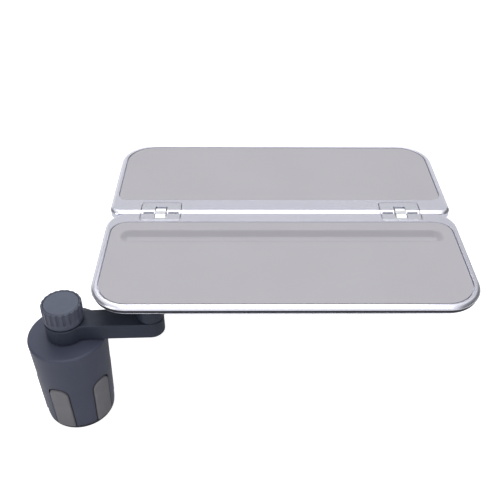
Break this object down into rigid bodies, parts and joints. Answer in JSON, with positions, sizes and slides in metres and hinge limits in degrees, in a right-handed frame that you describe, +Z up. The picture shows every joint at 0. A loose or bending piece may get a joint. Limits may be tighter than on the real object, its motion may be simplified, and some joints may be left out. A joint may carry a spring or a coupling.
{
  "type": "folding tray",
  "caption": "Two-leaf folding tray with a pen trough, carried by a jointed swivel arm on a round base whose jaws expand inside a cup holder.",
  "frame": {"origin": "centre of the base's underside, where it stands in the cup holder", "axes": "+Z up along the base; +X along the tray's width, to the right; +Y from the front leaf to the rear leaf"},
  "size_m": [0.4198, 0.2992, 0.151],
  "materials": {
    "base_plastic": "satin slate grey moulding",
    "plate_plastic": "satin dark grey moulding",
    "jaw_plastic": "matt grey moulding",
    "grip_rubber": "matt grey rubber",
    "nut_plastic": "natural white low-friction moulding",
    "knob_plastic": "satin grey moulding",
    "cap_plastic": "satin grey moulding",
    "arm_plastic": "satin charcoal moulding, glass filled",
    "flange_plastic": "satin dark grey moulding, glass filled",
    "washer_plastic": "natural white low-friction moulding",
    "rim_finish": "satin silver lacquer on moulding",
    "hinge_finish": "satin silver lacquer on moulding",
    "link_metal": "satin",
    "insert_plastic": "fine-grained light grey",
    "cover_plastic": "matt mid grey",
    "cast_metal": "turned, satin",
    "screw_steel": "zinc plated",
    "spring_steel": "blackened",
    "pin_steel": "ground"
  },
  "bodies": {
    "base": {"base_shell": "base_plastic", "base_plate": "plate_plastic", "base_screw_1": "screw_steel", "base_screw_2": "screw_steel", "base_screw_3": "screw_steel", "base_screw_4": "screw_steel", "base_screw_5": "screw_steel", "pivot_neck": "cast_metal", "neck_screw_1": "screw_steel", "neck_screw_2": "screw_steel", "neck_screw_3": "screw_steel", "hub_circlip": "spring_steel"},
    "knob_and_spindle": {"knob": "knob_plastic", "knob_cap": "cap_plastic", "knob_screw": "screw_steel", "spindle": "pin_steel", "spindle_clip": "spring_steel"},
    "wedge": {"wedge_nut": "nut_plastic"},
    "jaw_body_1": {"jaw_1": "jaw_plastic", "jaw_pad_1": "grip_rubber"},
    "jaw_body_2": {"jaw_2": "jaw_plastic", "jaw_pad_2": "grip_rubber"},
    "jaw_body_3": {"jaw_3": "jaw_plastic", "jaw_pad_3": "grip_rubber"},
    "jaw_body_4": {"jaw_4": "jaw_plastic", "jaw_pad_4": "grip_rubber"},
    "jaw_body_5": {"jaw_5": "jaw_plastic", "jaw_pad_5": "grip_rubber"},
    "lower_arm_body": {"lower_arm": "arm_plastic", "elbow_bolt": "screw_steel", "elbow_cap": "arm_plastic", "elbow_washer": "washer_plastic"},
    "upper_arm_body": {"upper_arm": "arm_plastic", "elbow_nut": "screw_steel", "swivel_washer": "washer_plastic"},
    "front_leaf": {"swivel_plate": "flange_plastic", "swivel_screw_1": "screw_steel", "swivel_screw_2": "screw_steel", "swivel_screw_3": "screw_steel", "swivel_screw_4": "screw_steel", "swivel_pivot_washer": "pin_steel", "swivel_pivot_screw": "screw_steel", "front_frame": "rim_finish", "front_insert": "insert_plastic", "front_cover": "cover_plastic", "hinge_plate_front_left": "hinge_finish", "hinge_plate_front_right": "hinge_finish", "hinge_pin_front_left": "pin_steel", "hinge_pin_front_right": "pin_steel"},
    "link_left": {"hinge_link_left": "link_metal"},
    "link_right": {"hinge_link_right": "link_metal"},
    "rear_leaf": {"rear_frame": "rim_finish", "rear_insert": "insert_plastic", "rear_cover": "cover_plastic", "hinge_plate_rear_left": "hinge_finish", "hinge_plate_rear_right": "hinge_finish", "hinge_pin_rear_left": "pin_steel", "hinge_pin_rear_right": "pin_steel"}
  },
  "joints": [
    {"name": "knob_turn", "type": "hinge", "parent": "base", "child": "knob_and_spindle", "pos_m": [0, 0, 0.12], "axis": [0, 0, 1], "range_deg": [0, 1530]},
    {"name": "wedge_lift", "type": "slide", "parent": "base", "child": "wedge", "axis": [0, 0, 1], "range_m": [0, 0.034]},
    {"name": "jaw_slide_1", "type": "slide", "parent": "base", "child": "jaw_body_1", "axis": [-0.2672, -0.9636, 0], "range_m": [0, 0.0102]},
    {"name": "jaw_slide_2", "type": "slide", "parent": "base", "child": "jaw_body_2", "axis": [0.8339, -0.5519, 0], "range_m": [0, 0.0102]},
    {"name": "jaw_slide_3", "type": "slide", "parent": "base", "child": "jaw_body_3", "axis": [0.7826, 0.6225, 0], "range_m": [0, 0.0102]},
    {"name": "jaw_slide_4", "type": "slide", "parent": "base", "child": "jaw_body_4", "axis": [-0.3502, 0.9367, 0], "range_m": [0, 0.0102]},
    {"name": "jaw_slide_5", "type": "slide", "parent": "base", "child": "jaw_body_5", "axis": [-0.999, -0.0436, 0], "range_m": [0, 0.0102]},
    {"name": "arm_swivel", "type": "hinge", "parent": "base", "child": "lower_arm_body", "pos_m": [0, 0, 0.109], "axis": [0, 0, 1], "range_deg": [-180, 180]},
    {"name": "elbow", "type": "hinge", "parent": "lower_arm_body", "child": "upper_arm_body", "pos_m": [0.07898, 0.00428, 0.1176], "axis": [0, 0, 1], "range_deg": [-194.9, 85.1]},
    {"name": "tray_swivel", "type": "hinge", "parent": "upper_arm_body", "child": "front_leaf", "pos_m": [0.1235, 0.07551, 0.134], "axis": [0, 0, 1], "range_deg": [-180, 180]},
    {"name": "fold_link_left", "type": "hinge", "parent": "front_leaf", "child": "link_left", "pos_m": [0.08, 0.11876, 0.1465], "axis": [1, 0, 0], "range_deg": [0, 90]},
    {"name": "fold_link_right", "type": "hinge", "parent": "front_leaf", "child": "link_right", "pos_m": [0.328, 0.11876, 0.1465], "axis": [1, 0, 0], "range_deg": [0, 90]},
    {"name": "fold_leaf", "type": "hinge", "parent": "link_left", "child": "rear_leaf", "pos_m": [0.08, 0.12826, 0.1465], "axis": [1, 0, 0], "range_deg": [0, 90]}
  ],
  "couplings": [
    {"joint": "knob_turn", "follows": "wedge_lift", "rad_per_m": 785.4},
    {"joint": "jaw_slide_1", "follows": "wedge_lift", "ratio": 0.3},
    {"joint": "jaw_slide_2", "follows": "wedge_lift", "ratio": 0.3},
    {"joint": "jaw_slide_3", "follows": "wedge_lift", "ratio": 0.3},
    {"joint": "jaw_slide_4", "follows": "wedge_lift", "ratio": 0.3},
    {"joint": "jaw_slide_5", "follows": "wedge_lift", "ratio": 0.3},
    {"joint": "fold_link_right", "follows": "fold_link_left", "ratio": 1}
  ]
}
